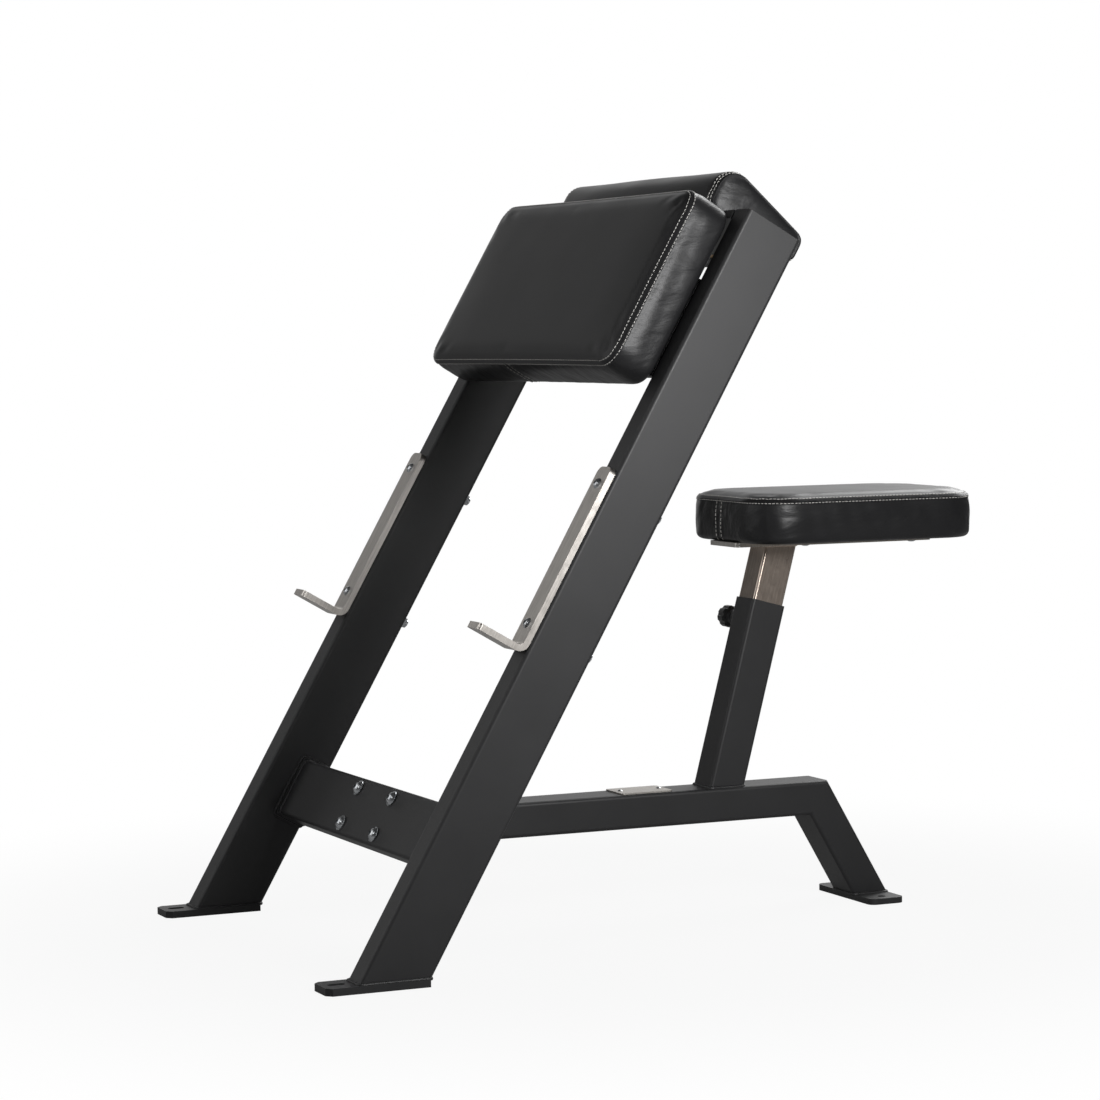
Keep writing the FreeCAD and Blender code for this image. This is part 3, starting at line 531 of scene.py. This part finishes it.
def top_pad(material, thread):
    """Half-round pad: one wrap carried across the bench, and a sewn-in panel at each end.

    The wrap is the section moved out along its normals, by a cosine along the bench less a parabola
    by each end. A panel is the end section at falling scales, bulging by one less the scale cubed.
    """
    node, body = "top_pad_cushion", "frame"
    low, high = local_box(node, SLOPE)
    base = local_box("top_rail", SLOPE)[1][1]
    half = (high[0] - low[0]) / 2
    front, back = high[2] - TOP_INSET, low[2] + TOP_INSET
    corners = [(back, 0), (front, 0), (front, TOP_NOSE), (back, TOP_HEEL)]
    loop = rounded_loop(corners, TOP_RADII, TOP_STEP)
    count = len(loop)
    middle = np.array([(front + back) / 2, TOP_MIDDLE * TOP_NOSE])
    inner = np.linspace(-half + TOP_ENDS[-1], half - TOP_ENDS[-1], TOP_STATIONS)[1:-1]
    stations = np.concatenate([-half + TOP_ENDS, inner, half - TOP_ENDS[::-1]])
    full = np.clip((half - np.abs(stations)) / WRAP_REACH, 0, 1)
    out = WRAP_OUT + WRAP_BOW * np.cos(np.pi / 2 * stations / half) - WRAP_DRAW * (1 - full) ** 2
    ahead = np.roll(loop, -1, axis=0) - np.roll(loop, 1, axis=0)
    outward = unit(np.stack([ahead[:, 1], -ahead[:, 0]], axis=1))
    wrap = loop + out[:, None, None] * outward
    under = loop[:, 1] < FLAT
    wrap[:, under, 1] = 0
    pocket = under & (loop[:, 0] > back + BOARD_INSET) & (loop[:, 0] < front - BOARD_INSET)
    deep = np.abs(stations) < half - BOARD_INSET - POCKET_STEP / 3
    wrap[np.ix_(deep, pocket)] = wrap[np.ix_(deep, pocket)] * [1, 0] + [0, BOARD_POCKET]
    across = np.broadcast_to(stations[:, None], wrap.shape[:2])
    points = np.stack([across, wrap[..., 1], wrap[..., 0]], axis=-1).reshape(-1, 3)
    rings = np.arange(len(points)).reshape(len(stations), count)
    faces = [strip_faces(a, b) for a, b in zip(rings, rings[1:])]
    bulge = half + PANEL_BULGE * (1 - PANEL_SCALES ** 3)
    panels = []
    for side, rim, section in ((-1, rings[0], wrap[0]), (1, rings[-1], wrap[-1])):
        panel = middle + (section - middle) * PANEL_SCALES[:, None, None]
        x = np.broadcast_to(side * bulge[:, None], panel.shape[:2])
        steps = [rim] + list(len(points) + np.arange(x.size).reshape(x.shape))
        added = np.stack([x, panel[..., 1], panel[..., 0]], axis=-1).reshape(-1, 3)
        points = np.concatenate([points, added])
        panels.append(steps)
        for a, b in zip(steps, steps[1:]):
            faces.append(strip_faces(b, a) if side < 0 else strip_faces(a, b))
    faces = np.concatenate(faces)
    lids = [panels[0][-1].tolist(), panels[1][-1][::-1].tolist()]
    held = [rings[:, under].ravel(), rings[0], rings[-1], panels[0][-1], panels[1][-1]]
    points = swollen(points, faces, np.unique(np.concatenate(held)), TOP_SWELL)
    normals = normals_of(points, faces)
    distance = np.clip(half - np.abs(points[:, 0]), 0, None)
    for steps in panels:
        for ring, scale in zip(steps[1:], PANEL_SCALES):
            distance[ring] = (1 - scale) * PANEL_REACH
    lift = welt(distance, *TOP_WELT) * (points[:, 1] > WELT_FOOT)
    points = points + normals * lift[:, None]
    origin = np.array([(low[0] + high[0]) / 2, base, 0])
    boxing = (np.arange(len(points)) >= rings.size).astype(float)
    made = smooth_cover("top_pad_cover", points, faces.tolist() + lids, SLOPE, origin, body, material,
                        boxing)
    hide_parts(node)
    normals = normals_of(points, faces)
    above = np.flatnonzero(~under)
    gap = np.flatnonzero(np.diff(above) > 1)[0] + 1
    rows = [rings[k][np.roll(above, -gap)] for k in TOP_STITCH_RINGS]
    lines = [(points[row], normals[row]) for row in rows]
    stitches("top_pad_stitching", lines, SLOPE, origin, body, thread)


# Welds

def bead(loop, normal):
    """Weld bead along a closed path: a round section whose radius changes along it.

    The radius follows the size of a sine over each ripple, and a slow sine round the whole path.
    """
    path = np.concatenate([loop, loop[:1]])
    run = run_of(path)
    count = int(run[-1] / BEAD_STEP)
    at = np.arange(count) * run[-1] / count
    path = along_path(at, run, path)
    tangent = unit(np.roll(path, -2, axis=0) - np.roll(path, 2, axis=0))
    beside = np.cross(normal, tangent)
    phase = 2 * np.pi * at / run[-1]
    ripple = np.abs(np.sin(round(run[-1] / BEAD_RIPPLE) * phase / 2))
    size = BEAD_RADIUS * (BEAD_LEAST + BEAD_SWELL * ripple + BEAD_DRIFT * np.sin(BEAD_DRIFTS * phase))
    turn = np.arange(BEAD_SIDES) * 2 * np.pi / BEAD_SIDES
    ring = np.cos(turn)[:, None] * beside[:, None] + np.sin(turn)[:, None] * normal
    return path[:, None] + size[:, None, None] * ring


def weld(axes, box, level, corner):
    """Bead round a rounded rectangle that lies in a plane of local axes."""
    (u0, v0), (u1, v1) = box
    loop = rounded_loop([(u0, v0), (u1, v0), (u1, v1), (u0, v1)], np.full(4, corner), CORNER_STEP)
    loop = np.column_stack([loop, np.full(len(loop), level)])
    return bead(loop @ axes, axes[2])


def weld_piece(name, beads, body, material):
    """All the beads of one body in one mesh."""
    points, faces, first = [], [], 0
    for rings in beads:
        rows, sides = rings.shape[:2]
        numbers = first + np.arange(rows * sides).reshape(rows, sides)
        following = np.roll(numbers, -1, axis=0)
        quads = [numbers, np.roll(numbers, -1, 1), np.roll(following, -1, 1), following]
        points.append(rings.reshape(-1, 3))
        faces.append(np.stack(quads, axis=-1).reshape(-1, 4))
        first += rows * sides
    piece(name, np.concatenate(points), np.concatenate(faces).tolist(), body, material)


def section_at(node, axes, level):
    """Rectangle that a CAD node covers where it meets a plane of local axes."""
    points = vertices_of(node, axes)
    near = points[np.abs(points[:, 2] - level) < TOUCH]
    return near.min(0)[:2], near.max(0)[:2]


def frame_welds(material):
    """Beads at the feet, the flanges, the beam's ends, the seat post's sleeve and the pin's housing."""
    beads = []
    slope_side = TURN_TO_SIDE @ SLOPE
    for side in ("left", "right"):
        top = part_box("foot_plate_" + side)[1].z
        beads.append(weld(LEVEL, section_at("upright_" + side, LEVEL, top), top, CORNERS["upright"]))
        low, high = local_box("cross_flange_" + side, slope_side)
        outer, inner = (high[2], low[2]) if side == "left" else (low[2], high[2])
        beads.append(weld(slope_side, (low[:2], high[:2]), outer, CORNERS["flange"]))
        low, high = local_box("cross_member", slope_side)
        beads.append(weld(slope_side, (low[:2], high[:2]), inner, CORNERS["member"]))
    joint = local_box("joint_plate", SLOPE)[0][2]
    beads.append(weld(SLOPE, section_at("main_beam", SLOPE, joint), joint, CORNERS["beam"]))
    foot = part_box("rear_foot_plate")[1].z
    beads.append(weld(LEVEL, section_at("rear_leg", LEVEL, foot), foot, CORNERS["leg"]))
    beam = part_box("main_beam")[1].z
    beads.append(weld(LEVEL, section_at("post_sleeve", LEVEL, beam), beam, CORNERS["sleeve"]))
    low, high = local_box("pin_housing", TURN_TO_SIDE)
    level = high[2] - BEAD_RADIUS / 2
    beads.append(weld(TURN_TO_SIDE, (low[:2], high[:2]), level, CORNERS["housing"]))
    weld_piece("frame_welds", beads, "frame", material)


def seat_weld(material):
    """Bead where the seat post meets its plate."""
    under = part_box("seat_plate")[0].z
    beads = [weld(LEVEL, section_at("seat_post", LEVEL, under), under, CORNERS["post"])]
    weld_piece("seat_weld", beads, "seat", material)


def squeeze_spring():
    """Give the spring a mesh of its own; its shape is left as it is."""
    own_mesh(NODES["pin_spring"])


# Finishes

def linear(code):
    """An sRGB hex colour as linear red, green, blue and full alpha."""
    parts = [int(code[i:i + 2], 16) / 255 for i in (1, 3, 5)]
    return tuple(c / 12.92 if c <= 0.04045 else ((c + 0.055) / 1.055) ** 2.4 for c in parts) + (1.0,)


def per_size(millimetres):
    """Texture scale that gives a pattern of this size."""
    return 1 / (millimetres * MM)


def add(tree, kind, inputs=None, **settings):
    """Add a node, set its settings, and set or link its inputs."""
    node = tree.nodes.new(kind)
    for name, value in settings.items():
        setattr(node, name, value)
    for name, value in (inputs or {}).items():
        if isinstance(value, bpy.types.NodeSocket):
            tree.links.new(value, node.inputs[name])
        else:
            node.inputs[name].default_value = value
    return node


def bare_material(name):
    """A new material, its empty node tree, and the place on the object that its patterns start from."""
    material = bpy.data.materials.new(name)
    material.use_nodes = True
    tree = material.node_tree
    tree.nodes.clear()
    return material, tree, add(tree, "ShaderNodeTexCoord").outputs["Object"]


def surfaced(material, inputs):
    """The material, closed with its shader and output."""
    tree = material.node_tree
    shader = add(tree, "ShaderNodeBsdfPrincipled", inputs)
    add(tree, "ShaderNodeOutputMaterial", {"Surface": shader.outputs["BSDF"]})
    return material


def powder_coat():
    """Powder-coated steel, sprayed and baked: fine orange-peel texture that scatters highlights."""
    material, tree, place = bare_material("black_powder_coat_textured")
    cloud = add(tree, "ShaderNodeTexNoise", {"Vector": place, "Scale": per_size(90), "Detail": 3})
    colour = add(tree, "ShaderNodeMix", {"Factor": cloud.outputs["Fac"], "A": linear("#1a1a1b"),
                                         "B": linear("#282829")}, data_type="RGBA")
    # real grain is about 0.6 mm, drawn at 1.8 mm so that it shows at this distance
    grain = add(tree, "ShaderNodeTexNoise", {"Vector": place, "Scale": per_size(1.8), "Detail": 4,
                                             "Roughness": 0.6})
    bump = add(tree, "ShaderNodeBump", {"Height": grain.outputs["Fac"], "Strength": 0.3,
                                        "Distance": 0.2 * MM})
    rough = add(tree, "ShaderNodeMapRange", {"Value": grain.outputs["Fac"], "To Min": 0.42,
                                             "To Max": 0.58})
    return surfaced(material, {"Base Color": colour.outputs["Result"], "Normal": bump.outputs["Normal"],
                               "Roughness": rough.outputs["Result"], "Specular IOR Level": COAT_GLOSS})


def stainless(name, light, dark, turn, rough):
    """Stainless steel, brushed or rolled along its length: streaked highlights on a slightly warm grey."""
    material, tree, place = bare_material(name)
    lined = add(tree, "ShaderNodeMapping", {"Vector": place, "Rotation": (turn, 0, 0)})
    stretched = add(tree, "ShaderNodeMapping", {"Vector": lined.outputs["Vector"], "Scale": (1, 1, 0.06)})
    # real brush lines are about 0.2 mm apart, drawn at 1.5 mm so that they show at this distance
    brush = add(tree, "ShaderNodeTexNoise", {"Vector": stretched.outputs["Vector"],
                                             "Scale": per_size(1.5), "Detail": 5})
    colour = add(tree, "ShaderNodeMix", {"Factor": brush.outputs["Fac"], "A": linear(dark),
                                         "B": linear(light)}, data_type="RGBA")
    mottle = add(tree, "ShaderNodeTexNoise", {"Vector": place, "Scale": per_size(9), "Detail": 3})
    spread = add(tree, "ShaderNodeMapRange", {"Value": mottle.outputs["Fac"], "To Min": rough - 0.06,
                                              "To Max": rough + 0.06})
    bump = add(tree, "ShaderNodeBump", {"Height": brush.outputs["Fac"], "Strength": 0.1,
                                        "Distance": 0.05 * MM})
    return surfaced(material, {"Base Color": colour.outputs["Result"], "Normal": bump.outputs["Normal"],
                               "Roughness": spread.outputs["Result"], "Metallic": 1.0})


def zinc():
    """Zinc-plated steel, barrel plated: bright, faintly blue, with soft blotches."""
    material, tree, place = bare_material("zinc_plated_steel_bright")
    blotch = add(tree, "ShaderNodeTexNoise", {"Vector": place, "Scale": per_size(4), "Detail": 3})
    colour = add(tree, "ShaderNodeMix", {"Factor": blotch.outputs["Fac"], "A": linear("#878c94"),
                                         "B": linear("#e8eaea")}, data_type="RGBA")
    rough = add(tree, "ShaderNodeMapRange", {"Value": blotch.outputs["Fac"], "To Min": 0.2,
                                             "To Max": 0.38})
    return surfaced(material, {"Base Color": colour.outputs["Result"],
                               "Roughness": rough.outputs["Result"], "Metallic": 1.0})


def plastic(name, tone, rough, grit):
    """Moulded black thermoplastic: even colour with a fine spark-eroded mould grain."""
    material, tree, place = bare_material(name)
    grain = add(tree, "ShaderNodeTexNoise", {"Vector": place, "Scale": per_size(grit), "Detail": 3})
    colour = add(tree, "ShaderNodeMix", {"Factor": grain.outputs["Fac"], "A": linear(tone),
                                         "B": linear("#1d1d1e")}, data_type="RGBA")
    spread = add(tree, "ShaderNodeMapRange", {"Value": grain.outputs["Fac"], "To Min": rough - 0.06,
                                              "To Max": rough + 0.06})
    bump = add(tree, "ShaderNodeBump", {"Height": grain.outputs["Fac"], "Strength": 0.2,
                                        "Distance": 0.1 * MM})
    return surfaced(material, {"Base Color": colour.outputs["Result"], "Normal": bump.outputs["Normal"],
                               "Roughness": spread.outputs["Result"]})


def vinyl():
    """Upholstery vinyl, calendered and embossed: leather pebbles, with finer folds on the boxing."""
    material, tree, place = bare_material("black_upholstery_vinyl_embossed")
    boxing = add(tree, "ShaderNodeAttribute", attribute_name="boxing").outputs["Fac"]
    cloud = add(tree, "ShaderNodeTexNoise", {"Vector": place, "Scale": per_size(70), "Detail": 3})
    colour = add(tree, "ShaderNodeMix", {"Factor": cloud.outputs["Fac"], "A": linear("#151516"),
                                         "B": linear("#232324")}, data_type="RGBA")
    # real pebbles are about 0.8 mm, drawn at 2 mm so that they show at this distance
    pebble = add(tree, "ShaderNodeTexVoronoi", {"Vector": place, "Scale": per_size(2.0)},
                 feature="SMOOTH_F1")
    grain = add(tree, "ShaderNodeBump", {"Height": pebble.outputs["Distance"], "Strength": 0.2,
                                         "Distance": 0.2 * MM})
    pulled = add(tree, "ShaderNodeMapping", {"Vector": place, "Rotation": (0.5, 0, 0.3),
                                             "Scale": (1, 0.35, 1)})
    crease = add(tree, "ShaderNodeTexNoise", {"Vector": pulled.outputs["Vector"], "Scale": per_size(22),
                                              "Detail": 3, "Roughness": 0.5, "Distortion": 0.4})
    shown = add(tree, "ShaderNodeMath", {0: crease.outputs["Fac"], 1: boxing}, operation="MULTIPLY")
    folds = add(tree, "ShaderNodeBump", {"Height": shown.outputs["Value"], "Strength": 0.8,
                                         "Distance": 2.4 * MM, "Normal": grain.outputs["Normal"]})
    rough = add(tree, "ShaderNodeMapRange", {"Value": cloud.outputs["Fac"], "To Min": 0.34,
                                             "To Max": 0.44})
    return surfaced(material, {"Base Color": colour.outputs["Result"], "Normal": folds.outputs["Normal"],
                               "Roughness": rough.outputs["Result"], "Specular IOR Level": VINYL_GLOSS})


def polyester():
    """Bonded polyester thread, twisted: pale grey, mottled by its ply."""
    material, tree, place = bare_material("pale_polyester_thread_twisted")
    ply = add(tree, "ShaderNodeTexNoise", {"Vector": place, "Scale": per_size(1.2), "Detail": 2})
    colour = add(tree, "ShaderNodeMix", {"Factor": ply.outputs["Fac"], "A": linear("#8d8b88"),
                                         "B": linear("#c4c2be")}, data_type="RGBA")
    return surfaced(material, {"Base Color": colour.outputs["Result"], "Roughness": 0.7})


def plywood():
    """Birch plywood, sanded: long pale grain on its faces."""
    material, tree, place = bare_material("birch_plywood_sanded")
    stretched = add(tree, "ShaderNodeMapping", {"Vector": place, "Scale": (0.06, 1, 1)})
    grain = add(tree, "ShaderNodeTexNoise", {"Vector": stretched.outputs["Vector"], "Scale": per_size(6),
                                             "Detail": 5, "Distortion": 0.6})
    colour = add(tree, "ShaderNodeMix", {"Factor": grain.outputs["Fac"], "A": linear("#a8814f"),
                                         "B": linear("#d6b888")}, data_type="RGBA")
    return surfaced(material, {"Base Color": colour.outputs["Result"], "Roughness": 0.65})


# Studio

def background(tree, dim, share):
    """Strength 1 for camera and clear rays, that share of it for glossy rays, and dim for the rest."""
    path = add(tree, "ShaderNodeLightPath").outputs
    seen = add(tree, "ShaderNodeMath", {0: path["Is Camera Ray"], 1: path["Is Transmission Ray"]},
               operation="MAXIMUM")
    mirrored = add(tree, "ShaderNodeMath", {0: path["Is Glossy Ray"], 1: share}, operation="MULTIPLY")
    either = add(tree, "ShaderNodeMath", {0: seen.outputs["Value"], 1: mirrored.outputs["Value"]},
                 operation="MAXIMUM")
    level = add(tree, "ShaderNodeMapRange", {"Value": either.outputs["Value"], "To Min": dim,
                                             "To Max": 1.0})
    return level.outputs["Result"]


def pale_floor():
    """Floor paint, rolled matt: an even white to the camera, faintly shaded round the bench."""
    half = FLOOR_HALF
    mesh = bpy.data.meshes.new("floor")
    mesh.from_pydata([(-half, -half, 0), (half, -half, 0), (half, half, 0), (-half, half, 0)], [],
                     [(0, 1, 2, 3)])
    floor = bpy.data.objects.new("floor", mesh)
    bpy.context.scene.collection.objects.link(floor)
    material, tree, place = bare_material("pale_floor_paint_matt")
    away = add(tree, "ShaderNodeVectorMath", {0: place}, operation="LENGTH")
    fade = add(tree, "ShaderNodeMapRange", {"Value": away.outputs["Value"], "From Min": FLOOR_FADE[0],
                                            "From Max": FLOOR_FADE[1], "To Min": FLOOR_WHITE,
                                            "To Max": 1.0}, interpolation_type="SMOOTHSTEP")
    level = background(tree, 0.0, FLOOR_GLOSS)
    share = add(tree, "ShaderNodeMath", {0: level, 1: fade.outputs["Result"]}, operation="MULTIPLY")
    paint = add(tree, "ShaderNodeBsdfDiffuse", {"Color": FLOOR_TONE})
    glow = add(tree, "ShaderNodeEmission", {"Color": WHITE, "Strength": 1.0})
    mixed = add(tree, "ShaderNodeMixShader", {0: share.outputs["Value"], 1: paint.outputs["BSDF"],
                                              2: glow.outputs["Emission"]})
    add(tree, "ShaderNodeOutputMaterial", {"Surface": mixed.outputs["Shader"]})
    mesh.materials.append(material)


def studio():
    """White sweep behind the bench in a dim room, a pale floor, and soft lamps."""
    scene = bpy.context.scene
    scene.view_settings.view_transform = "Standard"
    world = bpy.data.worlds.new("studio")
    scene.world = world
    world.use_nodes = True
    tree = world.node_tree
    tree.nodes.clear()
    ray = add(tree, "ShaderNodeTexCoord").outputs["Generated"]
    toward = add(tree, "ShaderNodeVectorMath", {0: ray, 1: SWEEP_MIDDLE}, operation="DOT_PRODUCT")
    near, far = (math.cos(edge) for edge in SWEEP_EDGE)
    sweep = add(tree, "ShaderNodeMapRange", {"Value": toward.outputs["Value"], "From Min": far,
                                             "From Max": near}, interpolation_type="SMOOTHSTEP")
    level = background(tree, ROOM_LIGHT, sweep.outputs["Result"])
    sky = add(tree, "ShaderNodeBackground", {"Color": WHITE, "Strength": level})
    add(tree, "ShaderNodeOutputWorld", {"Surface": sky.outputs["Background"]})
    pale_floor()
    for name, place, target, size, power in LAMPS:
        lamp = bpy.data.lights.new(name, "AREA")
        lamp.energy = power
        lamp.size = size
        holder = bpy.data.objects.new(name, lamp)
        scene.collection.objects.link(holder)
        holder.location = place
        aim = Vector(place) - Vector(target)
        holder.rotation_euler = aim.to_track_quat("Z", "Y").to_euler()


def camera():
    """Camera at the photograph's place, turned by its azimuth, pitch and roll."""
    az, pitch, tilt = CAMERA_AZIMUTH, CAMERA_PITCH, CAMERA_ROLL
    ahead = np.array([-math.sin(az) * math.cos(pitch), math.cos(az) * math.cos(pitch), -math.sin(pitch)])
    right = np.array([math.cos(az), math.sin(az), 0])
    up = np.cross(right, ahead)
    turned = np.column_stack([right * math.cos(tilt) + up * math.sin(tilt),
                              up * math.cos(tilt) - right * math.sin(tilt), -ahead])
    lens = bpy.data.cameras.new("photo_camera")
    lens.lens = CAMERA_LENS
    lens.sensor_width = CAMERA_SENSOR
    holder = bpy.data.objects.new("photo_camera", lens)
    bpy.context.scene.collection.objects.link(holder)
    holder.matrix_world = Matrix.Translation(CAMERA_PLACE) @ Matrix(turned.tolist()).to_4x4()
    bpy.context.scene.camera = holder


def dress(material, *names):
    """Give CAD nodes a finish."""
    for name in names:
        mesh = NODES[name].data
        mesh.materials.clear()
        mesh.materials.append(material)


coat = powder_coat()
cover = vinyl()
thread = polyester()
# Tinted brown beyond the steel's own warm grey: a painted reflection of brown surroundings, also on the
# seat post's weld
tube = stainless("stainless_tube_brushed_reflection_tint", light="#ddcfc3", dark="#97897d", turn=POST_LEAN, rough=0.3)
dress(coat, "upright_left", "upright_right", "foot_plate_left", "foot_plate_right",
      "cross_flange_left", "cross_flange_right", "cross_member", "joint_plate", "main_beam",
      "rear_leg", "rear_foot_plate", "post_sleeve", "pin_housing", "arm_pad_plate", "top_rail")
dress(stainless("stainless_bar_brushed", light="#e4dfd9", dark="#a5a09a", turn=math.pi / 2 - LEAN,
                rough=0.34), "bar_hook_left", "bar_hook_right")
# Trodden on, so darker and duller than the bar
dress(stainless("stainless_plate_scuffed", light="#c7c3be", dark="#817d78", turn=0.0, rough=0.5),
      "wear_plate")
dress(tube, "seat_post")
# As rolled, so between the two
dress(stainless("stainless_plate_mill", light="#e0dcd7", dark="#9e9a95", turn=0.0, rough=0.4),
      "seat_plate")
dress(zinc(), "joint_bolts", "joint_washers", "joint_nuts", "hook_screws", "hook_washers", "hook_nuts",
      "arm_pad_bolts", "arm_pad_tnuts", "top_pad_bolts", "top_pad_tnuts", "seat_screws", "seat_tnuts",
      "wear_plate_screws", "pull_pin", "pin_spring")
# Soft and waxy caps and plug, and a harder, shinier knob
dress(plastic("black_polyethylene_moulded", tone="#121212", rough=0.55, grit=1.5),
      "upright_cap_left", "upright_cap_right", "post_plug")
dress(plastic("black_nylon_moulded", tone="#0d0d0e", rough=0.38, grit=1.0), "pull_knob")
dress(plywood(), "arm_pad_board", "top_pad_board", "seat_board")
dress(cover, "arm_pad_cushion", "top_pad_cushion", "seat_cushion")

pad("arm_pad", "arm_pad_cushion", SLOPE, "frame", corner=28 * MM, foot=12 * MM, draw=1 * MM,
    swell=1.2 * MM, joins=[(-35 * MM, -1)], material=cover, thread=thread)
pad("seat", "seat_cushion", LEVEL, "seat", corner=58 * MM, foot=9 * MM, draw=3 * MM,
    swell=1.5 * MM, joins=[(-8 * MM, -1)], material=cover, thread=thread)
top_pad(cover, thread)
frame_welds(coat)
seat_weld(tube)
squeeze_spring()
studio()
camera()
